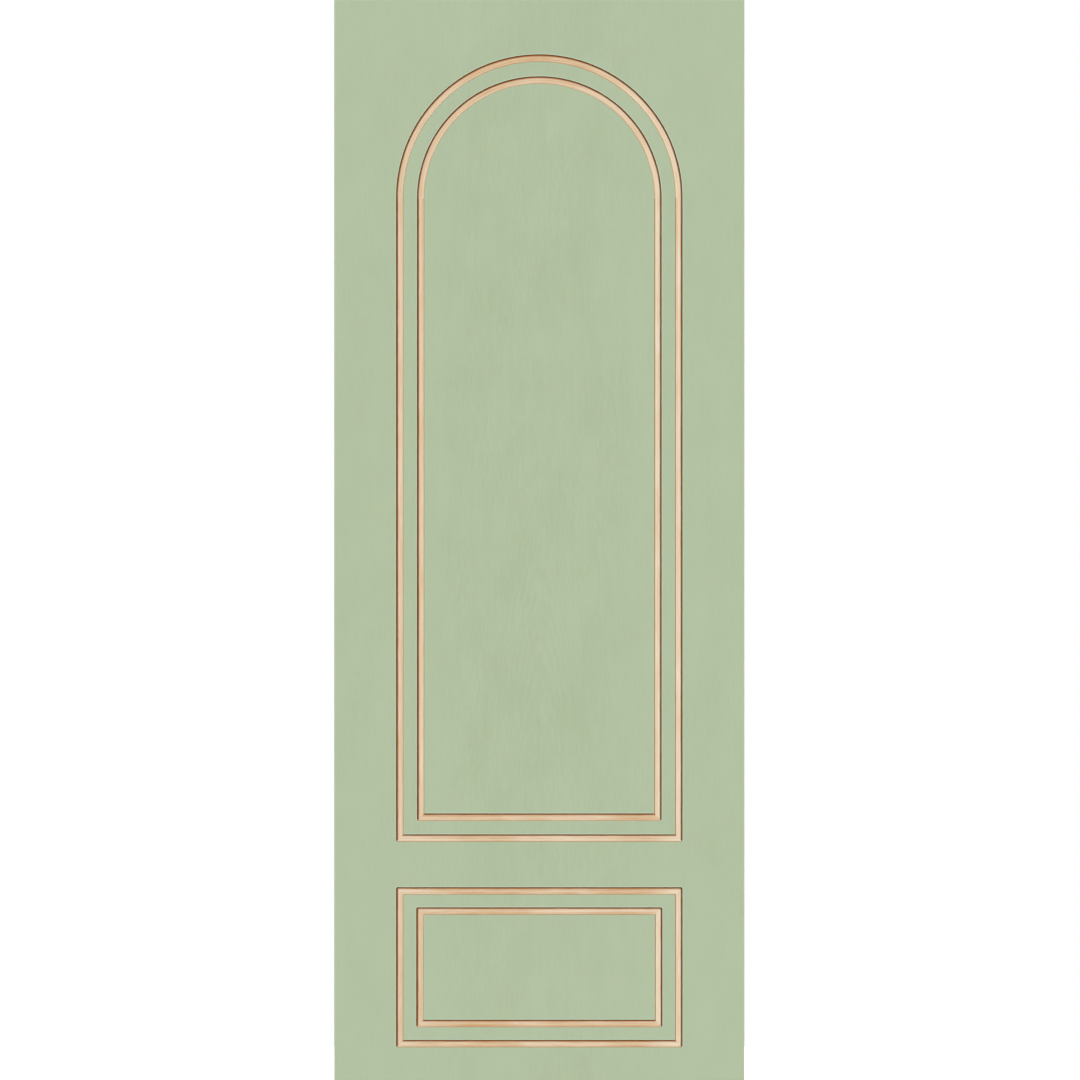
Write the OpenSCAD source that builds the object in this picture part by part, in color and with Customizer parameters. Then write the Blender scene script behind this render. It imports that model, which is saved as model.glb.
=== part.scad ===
// Flush door leaf with inlaid panel lines: a solid timber blank between two face boards.
// The front board carries two double outlines, a tall arched one above a low oblong one.
// Each outline is a routed groove with bare wood strips let in below the painted face.
// Upright leaf, front face towards -Y, origin on the floor under the middle of the leaf.

/* [Leaf] */
// Width of the leaf
leaf_w = 810; // [700:1:1000]
// Height of the leaf
leaf_h = 2134; // [1900:1:2600]
// Thickness of the leaf
leaf_t = 44; // [38:1:60]
// Chamfer along the outer edges of both face boards
edge_ease = 1.5; // [0.5:0.5:3]

/* [Blank] */
// Thickness of each face board
face_t = 10; // [9:0.5:12]
// Thickness of the lipping on each long edge
lipping_t = 8; // [6:1:15]
// Width of each stile
stile_w = 60; // [40:1:90]
// Height of the top rail
top_rail_h = 95; // [70:1:150]
// Height of the bottom rail
bottom_rail_h = 140; // [90:1:220]
// Diameter of the frame dowels
dowel_d = 12; // [8:1:16]
// Length of the frame dowels
dowel_len = 80; // [50:1:100]
// Distance of each dowel from the end of its joint
dowel_inset = 25; // [20:1:30]
// Glue gap around and beyond each dowel
dowel_fit = 0.2; // [0.1:0.1:0.5]

/* [Outlines] */
// Plain face beside the outlines
side_margin = 122.4; // [90:0.1:160]
// Plain face above the arch
top_margin = 108.2; // [80:0.1:180]
// Plain face below the lower panel
bottom_margin = 65.7; // [40:0.1:120]
// Height of the lower panel over its outer outline
lower_panel_h = 315.5; // [230:0.1:420]
// Plain face between the lower panel and the arched panel
mid_rail_h = 90.4; // [60:0.1:160]
// Step from the outer to the inner outline of the arched panel
arch_pitch = 41.3; // [25:0.1:60]
// Step from the outer to the inner outline of the lower panel
lower_pitch = 39.8; // [25:0.1:60]
// Drop of the inner arch's centre below the outer arch's centre
inner_arch_drop = 2; // [0:0.5:5]

/* [Grooves and strips] */
// Width of the grooves
groove_w = 14; // [10:0.5:20]
// Depth of the grooves
groove_d = 7; // [5:0.5:8]
// Radius that the cutter leaves in the outer corners of the grooves
cutter_r = 3; // [2:0.5:4]
// Thickness of the inlaid strips
strip_t = 3.5; // [2:0.5:4.5]
// Glue gap on each side of a strip
strip_fit = 0.15; // [0.1:0.05:0.3]

/* [Hidden] */
$fn = 96;

// Overrun that keeps cutting faces off the faces they cut through
over = 1;

// Core staves side by side, one node each
stave_count = 8;

// The blank: what lies between the face boards
core_t = leaf_t - 2 * face_t;
frame_w = leaf_w - 2 * lipping_t;
opening_w = frame_w - 2 * stile_w;
stave_w = opening_w / stave_count;
stave_len = leaf_h - top_rail_h - bottom_rail_h;

// The outlines, each as [half width, bottom, top or springing height]
outer_half = leaf_w / 2 - side_margin;
lower_top = bottom_margin + lower_panel_h;
arch_bottom = lower_top + mid_rail_h;
arch_spring = leaf_h - top_margin - outer_half;
outer_arch = [outer_half, arch_bottom, arch_spring];
inner_arch = [outer_half - arch_pitch, arch_bottom + arch_pitch, arch_spring - inner_arch_drop];
lower_outer = [outer_half, bottom_margin, lower_top];
lower_inner = [outer_half - lower_pitch, bottom_margin + lower_pitch, lower_top - lower_pitch];

// Depths measured from the middle of the leaf towards the front
front_y = -leaf_t / 2;
groove_floor_y = front_y + groove_d;

paint = "#b2c1a1";
bare_wood = "#e4ccac";
softwood = "#d9bd8b";
hardwood = "#b98d5e";

// Extrudes an outline drawn in width and height from depth y, t millimetres towards the front.
module towards_front(y, t) {
    translate([0, y, 0]) rotate([90, 0, 0]) linear_extrude(t) children();
}

// A block of the blank: left edge x, lower edge z, centred in the leaf's thickness.
module block(x, z, w, h) {
    translate([x, -core_t / 2, z]) cube([w, core_t, h]);
}

// Three-sided prisms that chamfer the four edges of the face at depth y; side is -1 on the front.
module edge_chamfers(y, side) {
    reach = edge_ease + over;
    corner = [[-over, -over], [reach, -over], [-over, reach]];
    for (end = [-1, 1]) {
        translate([end * leaf_w / 2, y, -over]) scale([-end, -side, 1])
            linear_extrude(leaf_h + 2 * over) polygon(corner);
        translate([-leaf_w / 2 - over, y, end < 0 ? 0 : leaf_h]) rotate([90, 0, 90])
            scale([-side, -end, 1]) linear_extrude(leaf_w + 2 * over) polygon(corner);
    }
}

// A face board whose outer face lies at depth y; side is -1 on the front and 1 on the back.
module face_board(y, side) {
    difference() {
        translate([-leaf_w / 2, side < 0 ? y : y - face_t, 0]) cube([leaf_w, face_t, leaf_h]);
        edge_chamfers(y, side);
    }
}

// A closed oblong with its lower corners rounded, and its upper corners too if round_top is true.
module oblong(half, bottom, top, r, round_top) {
    lift = round_top ? r : 0;
    translate([-half, bottom + r]) square([2 * half, top - lift - bottom - r]);
    if (r > 0) {
        translate([r - half, bottom]) square([2 * (half - r), top - bottom]);
        for (side = [-1, 1]) {
            translate([side * (half - r), bottom + r]) circle(r);
            if (round_top) translate([side * (half - r), top - r]) circle(r);
        }
    }
}

module half_disc(r, spring) {
    translate([0, spring]) intersection() {
        circle(r);
        translate([-2 * r, 0]) square([4 * r, 2 * r]);
    }
}

// The arched and the oblong outline, stepped in from its outer edge by inset.
module arched(outline, inset, r) {
    oblong(outline[0] - inset, outline[1] + inset, outline[2], r, false);
    half_disc(outline[0] - inset, outline[2]);
}

module framed(outline, inset, r) {
    oblong(outline[0] - inset, outline[1] + inset, outline[2] - inset, r, true);
}

// The band of an outline: the groove's own with gap 0, the strips' with the glue gap.
// The cutter rounds the band's outer corners and leaves its inner ones sharp.
module arched_band(outline, gap) {
    difference() {
        arched(outline, gap, cutter_r - gap);
        arched(outline, groove_w - gap, 0);
    }
}

module framed_band(outline, gap) {
    difference() {
        framed(outline, gap, cutter_r - gap);
        framed(outline, groove_w - gap, 0);
    }
}

// Wedges that part a band along its mitres: a foot, a head, and a side from the foot's mitre up.
// Their slanted edges run along the corners' diagonals, past both edges of the band.
module foot_wedge(outline) {
    half = outline[0];
    polygon([
        [-half - over, outline[1] - over], [half + over, outline[1] - over],
        [half - groove_w, outline[1] + groove_w], [groove_w - half, outline[1] + groove_w],
    ]);
}

module head_wedge(outline) {
    half = outline[0];
    polygon([
        [-half - over, outline[2] + over], [half + over, outline[2] + over],
        [half - groove_w, outline[2] - groove_w], [groove_w - half, outline[2] - groove_w],
    ]);
}

module side_wedge(outline, side, mitred_top) {
    half = outline[0];
    rise = mitred_top ? 1 : 0;
    polygon([
        [side * (half + over), outline[1] - over],
        [side * (half - groove_w), outline[1] + groove_w],
        [side * (half - groove_w), outline[2] - rise * groove_w],
        [side * (half + over), outline[2] + rise * over],
    ]);
}

// A strip: its outline raised from the groove's floor.
module strip() {
    color(bare_wood) towards_front(groove_floor_y, strip_t) children();
}

module arch_bend(outline) {
    strip() difference() {
        half_disc(outline[0] - strip_fit, outline[2]);
        translate([0, outline[2]]) circle(outline[0] - groove_w + strip_fit);
    }
}

module arch_side(outline, side) {
    strip() intersection() {
        arched_band(outline, strip_fit);
        side_wedge(outline, side, false);
    }
}

module arch_foot(outline) {
    strip() intersection() {
        arched_band(outline, strip_fit);
        foot_wedge(outline);
    }
}

module frame_side(outline, side) {
    strip() intersection() {
        framed_band(outline, strip_fit);
        side_wedge(outline, side, true);
    }
}

module frame_foot(outline) {
    strip() intersection() {
        framed_band(outline, strip_fit);
        foot_wedge(outline);
    }
}

module frame_head(outline) {
    strip() intersection() {
        framed_band(outline, strip_fit);
        head_wedge(outline);
    }
}

// The blank's four corner joints, two dowels in each, drawn with a gap all round for their holes.
module corner_dowels(gap) {
    heights = [
        dowel_inset, bottom_rail_h - dowel_inset,
        leaf_h - top_rail_h + dowel_inset, leaf_h - dowel_inset,
    ];
    for (side = [-1, 1], z = heights)
        translate([side * opening_w / 2, 0, z]) rotate([0, 90, 0])
            cylinder(d = dowel_d + 2 * gap, h = dowel_len + 2 * gap, center = true);
}

module stile(x) {
    color(softwood) difference() {
        block(x, 0, stile_w, leaf_h);
        corner_dowels(dowel_fit);
    }
}

module rail(z, h) {
    color(softwood) difference() {
        block(-opening_w / 2, z, opening_w, h);
        corner_dowels(dowel_fit);
    }
}

module lipping(x) {
    color(hardwood) block(x, 0, lipping_t, leaf_h);
}

module hinge_lipping() { lipping(-leaf_w / 2); }
module latch_lipping() { lipping(frame_w / 2); }
module hinge_stile() { stile(-frame_w / 2); }
module latch_stile() { stile(opening_w / 2); }
module top_rail() { rail(leaf_h - top_rail_h, top_rail_h); }
module bottom_rail() { rail(0, bottom_rail_h); }

module core_stave(i) {
    color(softwood) block(-opening_w / 2 + (i - 1) * stave_w, bottom_rail_h, stave_w, stave_len);
}

module frame_dowels() { color(hardwood) corner_dowels(0); }

module front_face() {
    color(paint) difference() {
        face_board(front_y, -1);
        towards_front(groove_floor_y, groove_d + over) {
            for (outline = [outer_arch, inner_arch]) arched_band(outline, 0);
            for (outline = [lower_outer, lower_inner]) framed_band(outline, 0);
        }
    }
}

module back_face() { color(paint) face_board(leaf_t / 2, 1); }

module outer_arch_bend() { arch_bend(outer_arch); }
module outer_arch_left() { arch_side(outer_arch, -1); }
module outer_arch_right() { arch_side(outer_arch, 1); }
module outer_arch_foot() { arch_foot(outer_arch); }
module inner_arch_bend() { arch_bend(inner_arch); }
module inner_arch_left() { arch_side(inner_arch, -1); }
module inner_arch_right() { arch_side(inner_arch, 1); }
module inner_arch_foot() { arch_foot(inner_arch); }
module lower_outer_top() { frame_head(lower_outer); }
module lower_outer_left() { frame_side(lower_outer, -1); }
module lower_outer_right() { frame_side(lower_outer, 1); }
module lower_outer_foot() { frame_foot(lower_outer); }
module lower_inner_top() { frame_head(lower_inner); }
module lower_inner_left() { frame_side(lower_inner, -1); }
module lower_inner_right() { frame_side(lower_inner, 1); }
module lower_inner_foot() { frame_foot(lower_inner); }

hinge_lipping();
latch_lipping();
hinge_stile();
latch_stile();
top_rail();
bottom_rail();
for (i = [1:stave_count]) {
    core_stave(i);
}
frame_dowels();
front_face();
back_face();
outer_arch_bend();
outer_arch_left();
outer_arch_right();
outer_arch_foot();
inner_arch_bend();
inner_arch_left();
inner_arch_right();
inner_arch_foot();
lower_outer_top();
lower_outer_left();
lower_outer_right();
lower_outer_foot();
lower_inner_top();
lower_inner_left();
lower_inner_right();
lower_inner_foot();
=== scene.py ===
# %% [markdown]
# # A painted flush door with inlaid wood lines
#
# The real object is a door leaf: a timber blank glued up between two face boards. The front board is
# veneered with oak, routed with closed grooves, and painted a matt sage green. Bare beech strips lie
# in the grooves a little below the paint, so each line has a lit floor and a shadow under one wall.
#
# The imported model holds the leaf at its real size. This script gives it its looks: a finer front
# board with softened edges, strips whose grain runs along them, and a finish for every surface.

import math

import bmesh
import bpy
import numpy as np
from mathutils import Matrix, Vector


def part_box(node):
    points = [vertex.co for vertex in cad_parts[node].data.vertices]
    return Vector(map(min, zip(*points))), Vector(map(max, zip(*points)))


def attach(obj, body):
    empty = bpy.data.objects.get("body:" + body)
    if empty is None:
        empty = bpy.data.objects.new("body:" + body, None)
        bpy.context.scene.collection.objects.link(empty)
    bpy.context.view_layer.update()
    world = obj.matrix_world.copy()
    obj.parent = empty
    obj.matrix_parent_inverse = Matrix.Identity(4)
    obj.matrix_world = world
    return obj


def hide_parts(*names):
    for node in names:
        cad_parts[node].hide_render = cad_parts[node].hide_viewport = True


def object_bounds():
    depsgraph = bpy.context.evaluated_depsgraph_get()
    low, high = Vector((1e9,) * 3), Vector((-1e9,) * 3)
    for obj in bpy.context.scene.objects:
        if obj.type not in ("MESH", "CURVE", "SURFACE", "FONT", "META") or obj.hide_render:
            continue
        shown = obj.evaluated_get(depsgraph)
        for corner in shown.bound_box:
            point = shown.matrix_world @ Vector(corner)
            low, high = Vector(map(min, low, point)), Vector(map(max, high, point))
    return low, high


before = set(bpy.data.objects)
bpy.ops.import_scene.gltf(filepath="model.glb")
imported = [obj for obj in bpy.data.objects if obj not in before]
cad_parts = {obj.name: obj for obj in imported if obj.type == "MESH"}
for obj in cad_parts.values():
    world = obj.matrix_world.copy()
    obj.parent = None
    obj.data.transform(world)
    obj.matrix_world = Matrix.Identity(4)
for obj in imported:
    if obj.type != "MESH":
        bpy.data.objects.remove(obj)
cad_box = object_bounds()
print("leaf from", [round(v, 4) for v in cad_box[0]], "to", [round(v, 4) for v in cad_box[1]])

# %% [markdown]
# ## Sizes
#
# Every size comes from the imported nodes, so nothing has to be fitted by hand. A strip's box gives the
# groove it lies in once the glue gap on its two sides is added back.

# %% Sizes of the leaf, the boards and the grooves, in metres
MM = 0.001
GLUE_GAP = 0.15 * MM      # each side of a strip
CUTTER_RADIUS = 3 * MM    # left by the router in a groove's outer corners
BOARD_EASE = 1.5 * MM     # softened outer edge of a face board
GROOVE_EASE = 0.25 * MM   # softened edge where the paint stops at a groove

leaf_low, leaf_high = (np.array(corner) for corner in cad_box)
half_leaf = leaf_high[0]
leaf_top = leaf_high[2]
face_y = leaf_low[1]

strip_low, strip_high = (np.array(corner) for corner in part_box("outer_arch_left"))
strip_y, floor_y = strip_low[1], strip_high[1]
groove_width = strip_high[0] - strip_low[0] + 2 * GLUE_GAP


def outline(name, head):
    """An outline's half width, bottom, and either its springing height or its top, as a dict."""
    low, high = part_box(f"{name}_left")
    foot_low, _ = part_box(f"{name}_foot")
    arched = head == "bend"
    return {"name": name, "head": head, "half": -low[0] + GLUE_GAP, "bottom": foot_low[2] - GLUE_GAP,
            "top": high[2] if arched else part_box(f"{name}_top")[1][2] + GLUE_GAP}


OUTER_ARCH = outline("outer_arch", "bend")
INNER_ARCH = outline("inner_arch", "bend")
LOWER_OUTER = outline("lower_outer", "top")
LOWER_INNER = outline("lower_inner", "top")
OUTLINES = [OUTER_ARCH, INNER_ARCH, LOWER_OUTER, LOWER_INNER]
for line in OUTLINES:
    print(line["name"], {key: round(line[key], 4) for key in ("half", "bottom", "top")})
print("groove", round(groove_width / MM, 2), "mm wide, strip", round((strip_y - face_y) / MM, 2), "mm down")

# %% [markdown]
# ## One way to follow every outline
#
# A groove and its strip run along the same outline, so both are drawn by one function. It takes a set
# of insets, measured inwards from the outline's outer edge, and returns where each inset runs. Neighbouring
# runs meet on the corner's diagonal, as mitred strips do. Insets smaller than the cutter's radius turn
# the corner on an arc round the cutter's centre, and larger ones turn it sharply.

# %% A corner's stretch
CORNER_STEPS = 8
ARC_SHARE = 0.5           # share of the corner's steps that lie on the arc
CORNER_LEAD = 25 * MM     # length of a corner's stretch, longer than any inset


def corner_stretch(insets):
    """Distances along and across a run from its mitre to CORNER_LEAD, one row for each step.

    With radius r and inset a under r, the arc is (r - (r - a) sin p, r - (r - a) cos p) for p from
    45 degrees to 0, and a straight line follows. From a = r on, the line starts at the mitre, (a, a).
    """
    t = np.linspace(0, 1, CORNER_STEPS + 1)[:, None]
    a, r = insets[None, :], CUTTER_RADIUS
    p = np.pi / 4 * np.clip(1 - t / ARC_SHARE, 0, 1)
    straight = r + (CORNER_LEAD - r) * np.clip((t - ARC_SHARE) / (1 - ARC_SHARE), 0, 1)
    on_arc = t < ARC_SHARE
    along = np.where(on_arc, r - (r - a) * np.sin(p), straight)
    across = np.where(on_arc, r - (r - a) * np.cos(p), a + 0 * t)
    sharp = a + (CORNER_LEAD - a) * t
    return np.where(a < r, along, sharp), np.where(a < r, across, a + 0 * t)


corner_points = len(corner_stretch(np.zeros(1))[0])
print("a corner takes", corner_points, "points on", round(CORNER_LEAD / MM), "mm of each run")

# %% Runs of an outline
ARCH_STEPS = 96


def run(line, side, insets):
    """Points (x, z) of one run of an outline, rows along it and columns for the insets, and its length.

    A straight run is its first corner's stretch, then the second's mirrored about the middle. A side
    under a bend ends level at the springing height. A bend is ((half - a) cos q, top + (half - a) sin q)
    for q from 180 degrees to 0.
    """
    insets = np.asarray(insets, float)
    half, bottom, top = line["half"], line["bottom"], line["top"]
    if side == "bend":
        q = np.linspace(np.pi, 0, ARCH_STEPS + 1)[:, None]
        radius = half - insets[None, :]
        points = np.stack([radius * np.cos(q), top + radius * np.sin(q)], -1)
        return points, (np.pi - q) * (half - groove_width / 2) + 0 * radius
    along, across = corner_stretch(insets)
    length = 2 * half if side in ("foot", "top") else top - bottom
    if line["head"] == "bend" and side in ("left", "right"):
        end_along, end_across = np.full((1, len(insets)), length), insets[None, :]
    else:
        end_along, end_across = length - along[::-1], across[::-1]
    along, across = np.concatenate([along, end_along]), np.concatenate([across, end_across])
    points = {
        "left": (across - half, bottom + along),
        "right": (half - across, bottom + along),
        "foot": (along - half, bottom + across),
        "top": (along - half, top - across),
    }[side]
    return np.stack(points, -1), along


def sides(line):
    """The names of an outline's four runs."""
    return ("left", line["head"], "right", "foot")


for side in sides(OUTER_ARCH):
    points, along = run(OUTER_ARCH, side, [0.0])
    print(side, "run of the outer arch:", len(points), "points on", round(float(np.ptp(along)), 3), "m")


# %% [markdown]
# ## Turning grids into pieces
#
# A surface is a grid of points. This helper lays the quads, keeps two sets of coordinates for the
# finishes, and merges the points that neighbouring grids share, so that each piece is one closed skin.
#
# - `grain`: metres along the fibres, and metres across them.
# - `edge`: how near the shaded wall is, and how near the lit wall is, both from 0 to 1.

# %% Grids


def grid(points, grain=None, edge=None, slot=0):
    """A grid of points with its coordinates; edge may be one pair for the whole grid."""
    shape = points.shape[:2] + (2,)
    grain = points[..., [2, 0]] if grain is None else grain
    edge = np.zeros(shape) if edge is None else np.broadcast_to(edge, shape)
    return {"points": points, "grain": grain, "edge": edge, "slot": slot}


def quads(rows, columns):
    """Corner numbers of a grid's quads: each point with its neighbours ahead and beside it."""
    first = (np.arange(rows - 1)[:, None] * columns + np.arange(columns - 1)[None, :]).ravel()
    return np.stack([first, first + columns, first + columns + 1, first + 1], 1)


print("a grid of 3 by 4 points has", len(quads(3, 4)), "quads")

# %% One closed skin
MERGE_WITHIN = 0.002 * MM     # points nearer than this are one point
SLIVER = 0.001 * MM           # edges shorter than this are taken out
CREASE = math.radians(35)     # faces that meet at more than this stay crisp


def close_skin(mesh):
    """Merges the points that grids share, turns all faces outwards, and counts edges left open."""
    body = bmesh.new()
    body.from_mesh(mesh)
    bmesh.ops.remove_doubles(body, verts=body.verts, dist=MERGE_WITHIN)
    bmesh.ops.dissolve_degenerate(body, edges=body.edges, dist=SLIVER)
    bmesh.ops.recalc_face_normals(body, faces=body.faces)
    open_edges = sum(len(e.link_faces) != 2 for e in body.edges)
    body.to_mesh(mesh)
    body.free()
    mesh.shade_smooth()
    mesh.set_sharp_from_angle(angle=CREASE)
    return open_edges


print("points within", MERGE_WITHIN / MM, "mm are merged")

# %% Grids to a mesh


def make_piece(name, grids, caps=(), materials=()):
    """Joins grids, and flat caps given as rings of points, into one mesh object at the origin."""
    points, faces, slots, grain, edge = [], [], [], [], []
    start = 0
    for g in grids:
        rows, columns = g["points"].shape[:2]
        face = quads(rows, columns)
        points.append(g["points"].reshape(-1, 3))
        grain.append(g["grain"].reshape(-1, 2)[face].reshape(-1, 2))
        edge.append(g["edge"].reshape(-1, 2)[face].reshape(-1, 2))
        slots += [g["slot"]] * len(face)
        faces += (face + start).tolist()
        start += rows * columns
    for ring, slot in caps:
        points.append(ring)
        grain.append(ring[:, [2, 0]])
        edge.append(np.zeros((len(ring), 2)))
        slots.append(slot)
        faces.append(list(range(start, start + len(ring))))
        start += len(ring)
    mesh = bpy.data.meshes.new(name)
    mesh.from_pydata(np.concatenate(points), [], faces)
    mesh.polygons.foreach_set("material_index", slots)
    for layer, values in (("grain", grain), ("edge", edge)):
        mesh.uv_layers.new(name=layer).data.foreach_set("uv", np.concatenate(values).ravel())
    for material in materials:
        mesh.materials.append(material)
    open_edges = close_skin(mesh)
    piece = bpy.data.objects.new(name, mesh)
    bpy.context.scene.collection.objects.link(piece)
    print(name, len(mesh.polygons), "faces,", open_edges, "open edges")
    return piece


# %% [markdown]
# ## Finishes
#
# Colours are written as they look on a colour card (sRGB) and turned to the linear values that the
# renderer works in. One function adds a node of any kind, sets it, and joins it to the nodes that feed
# it, so a finish reads as a list of steps from the point on the surface to its colour.

# %% Colour card
SRGB_KNEE, SRGB_SLOPE = 0.04045, 12.92    # below the knee the card's curve is a straight line


def card(code):
    """A colour card's hex code as linear RGBA: ((v + 0.055) / 1.055) ** 2.4, or v / 12.92 when dark."""
    values = [int(code[k:k + 2], 16) / 255 for k in (1, 3, 5)]
    return [v / SRGB_SLOPE if v <= SRGB_KNEE else ((v + 0.055) / 1.055) ** 2.4 for v in values] + [1.0]


print("card #808080 is", round(card("#808080")[0], 3), "in linear light")

# %% Nodes and materials
SMOOTH = {"interpolation_type": "SMOOTHSTEP"}    # a MapRange that starts and ends gently
COLOURS = {"data_type": "RGBA", "out": 2}        # a Mix of two colours: sockets 6 and 7, output 2


def add(tree, kind, *feeds, out=0, **settings):
    """Adds one node and returns its output out.

    Each feed is a value or another node's output for the next socket. None skips a socket, and a dict
    names the sockets that it feeds.
    """
    node = tree.nodes.new("ShaderNode" + kind)
    for key, value in settings.items():
        setattr(node, key, value)
    sockets = {}
    for number, feed in enumerate(feeds):
        sockets.update(feed if isinstance(feed, dict) else {number: feed})
    for key, value in sockets.items():
        if isinstance(value, bpy.types.NodeSocket):
            tree.links.new(value, node.inputs[key])
        elif value is not None:
            node.inputs[key].default_value = value
    return node.outputs[out]


def finish(name):
    """A new material: its node tree and its Principled shader, ready for the finish to be built."""
    material = bpy.data.materials.new(name)
    material.use_nodes = True
    tree = material.node_tree
    return material, tree, next(n for n in tree.nodes if n.type == "BSDF_PRINCIPLED")


def complete(material, tree, shader, sockets):
    """Feeds the shader's sockets, links and plain values alike, and says how large the finish is."""
    for key, value in sockets.items():
        if isinstance(value, bpy.types.NodeSocket):
            tree.links.new(value, shader.inputs[key])
        else:
            shader.inputs[key].default_value = value
    print(material.name, "has", len(tree.nodes), "nodes")
    return material


# %% [markdown]
# ### Grains of a known size
#
# Wood and paint vary over known distances: a pore is some millimetres long, a cloud of paint as wide as
# a hand. A noise pattern repeats once per unit, so the point's coordinates are divided by the real size
# first. Two patterns are then mixed in shares that add up to one.

# %% Grains and shares


def per_metre(sizes):
    """How often a grain of each size fits into a metre: 1 / size."""
    return [1 / size for size in sizes]


def grains(tree, place, sizes, detail=2.0, roughness=0.5, out=0):
    """Values between 0 and 1 whose grains measure sizes, in metres, along the three coordinates."""
    scaled = add(tree, "Mapping", {0: place, 3: per_metre(sizes)})
    return add(tree, "TexNoise", {"Vector": scaled, "Scale": 1.0, "Detail": detail,
                                  "Roughness": roughness}, out=out)


def uneven(tree, place, sizes, detail=2.0, roughness=0.5):
    """Grains between -0.5 and 0.5, which push a value both ways and keep its middle."""
    return add(tree, "Math", grains(tree, place, sizes, detail, roughness), 0.5, operation="SUBTRACT")


def shares(tree, part, first, second):
    """A share of the first value and the rest of the second: part * first + (1 - part) * second."""
    rest = add(tree, "Math", second, 1 - part, operation="MULTIPLY")
    return add(tree, "Math", first, part, rest, operation="MULTIPLY_ADD")


print("pores 24 mm long come", round(per_metre([24 * MM])[0], 1), "to the metre")

# %% [markdown]
# ### Sage paint over oak
#
# Common name: matt water-based joinery paint, rolled on over an open-grained oak veneer. The paint hides
# the oak's colour but sinks into its pores, so a crown-cut figure still shows as the faintest change
# of tone and level: nested arches up the middle, straighter lines at the sides.
#
# A crown-cut veneer slices through nested cones, because a tree tapers. At width x and height z, with
# the cut a distance h from the heart, the ring number grows with sqrt(x^2 + h^2) + taper * z.

# %% The veneer's crown figure
RING_SPACING = 8 * MM
HEART_DEPTH = 28 * MM
TAPER = 0.16              # metres of radius lost with each metre of height
RING_WANDER = 22 * MM     # how far a ring strays from its cone
RING_STRAY = (60 * MM, 60 * MM, 200 * MM)   # over these distances
CROWN_HEIGHT = 0.87       # the crown's middle above the floor
CROWN_SIZE = (0.12, 1.0, 0.30)              # half its width and half its height, in metres
CROWN_RINGS = (1.0, 0.3, 0.02, 0.07)        # rings grow from 0.02 at its border to 0.07 within


def crown_rings(tree, place):
    """Rings sin(2 pi (radius + taper z + wander) / spacing), strongest within the crown's ellipse."""
    x, _, z = add(tree, "SeparateXYZ", place).node.outputs
    wander = add(tree, "Math", grains(tree, place, RING_STRAY, 4.0), RING_WANDER, operation="MULTIPLY")
    heart = add(tree, "CombineXYZ", x, HEART_DEPTH)
    radius = add(tree, "VectorMath", heart, operation="LENGTH", out="Value")
    cone = add(tree, "Math", z, TAPER, radius, operation="MULTIPLY_ADD")
    ring = add(tree, "Math", cone, wander, operation="ADD")
    turn = add(tree, "Math", ring, 2 * math.pi / RING_SPACING, operation="MULTIPLY")
    wave = add(tree, "Math", turn, operation="SINE")
    centre = (0.0, 0.0, -CROWN_HEIGHT / CROWN_SIZE[2])
    crown = add(tree, "Mapping", {0: place, 1: centre, 3: per_metre(CROWN_SIZE)})
    reach = add(tree, "VectorMath", crown, operation="LENGTH", out="Value")
    strength = add(tree, "MapRange", reach, *CROWN_RINGS, **SMOOTH)
    return add(tree, "Math", wave, strength, operation="MULTIPLY")


print("crown", 2 * CROWN_SIZE[0], "m wide and", 2 * CROWN_SIZE[2], "m high")

# %% Where the figure is bold
FIGURE_HEIGHT = 1.2       # metres above the floor
FIGURE_FADE = (0.55, 0.95, 1.0, 0.75)       # metres above or below that, and the strength left there
MIDDLE_BAND = (0.22, 0.12, 0.55, 1.0)       # metres from the middle line, and the strength there
SWAY = 0.16               # metres that the middle band sways from side to side
SWAY_SIZE = (150 * MM, 150 * MM, 300 * MM)


def bold_middle(tree, place):
    """From 0.55 at the sides to 1 on the middle line, and weaker towards the leaf's two ends."""
    x, _, z = add(tree, "SeparateXYZ", place).node.outputs
    sway = add(tree, "Math", grains(tree, place, SWAY_SIZE, 3.0), SWAY, -SWAY / 2, operation="MULTIPLY_ADD")
    aside = add(tree, "Math", add(tree, "Math", x, sway, operation="ADD"), operation="ABSOLUTE")
    away = add(tree, "Math", add(tree, "Math", z, FIGURE_HEIGHT, operation="SUBTRACT"), operation="ABSOLUTE")
    middle = add(tree, "MapRange", aside, *MIDDLE_BAND, **SMOOTH)
    ends = add(tree, "MapRange", away, *FIGURE_FADE, **SMOOTH)
    return add(tree, "Math", middle, ends, operation="MULTIPLY")


print("figure boldest", FIGURE_HEIGHT, "m above the floor")

# %% Colours, sizes and strengths of the paint
PAINT_BUILT = "#B7C7A7"    # where the paint lies thick
PAINT_SUNK = "#A9B896"     # where it sinks into the grain
PAINTED_HIGHLIGHT = "#C0D1B5"     # painted highlight: paler paint just beside a groove's shaded wall
PORE = (2.5 * MM, 2.5 * MM, 24 * MM)
STREAK = (7 * MM, 7 * MM, 160 * MM)
CLOUD = (60 * MM, 60 * MM, 130 * MM)
PATCH = (80 * MM, 80 * MM, 200 * MM)        # open and closed pores come in patches of this size
PATCH_RANGE = (0.35, 0.65, 0.5, 1.5)        # and are half to one and a half times as strong there
DRIFT = (40 * MM, 40 * MM, 55 * MM)         # the hue drifts over these distances
STIPPLE = (1.2 * MM, 1.2 * MM, 1.2 * MM)    # left by the roller
PORE_SHARE, STREAK_SHARE, CLOUD_SHARE, STIPPLE_SHARE = 0.75, 0.3, 0.85, 0.25
TONE, MIDDLE_TONE = 0.36, 0.20              # the plain tone, and what the bold middle adds
DRIFT_SHARE = 0.035
HIGHLIGHT_RANGE = (0.45, 0.85)                         # nearness to the shaded wall where the painted highlight starts and is full
PAINT_RELIEF, PAINT_BUMP = 0.12 * MM, 0.35
PAINT_ROUGHNESS = (0.3, 0.7, 0.56, 0.66)    # sunken paint is the rougher
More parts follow.
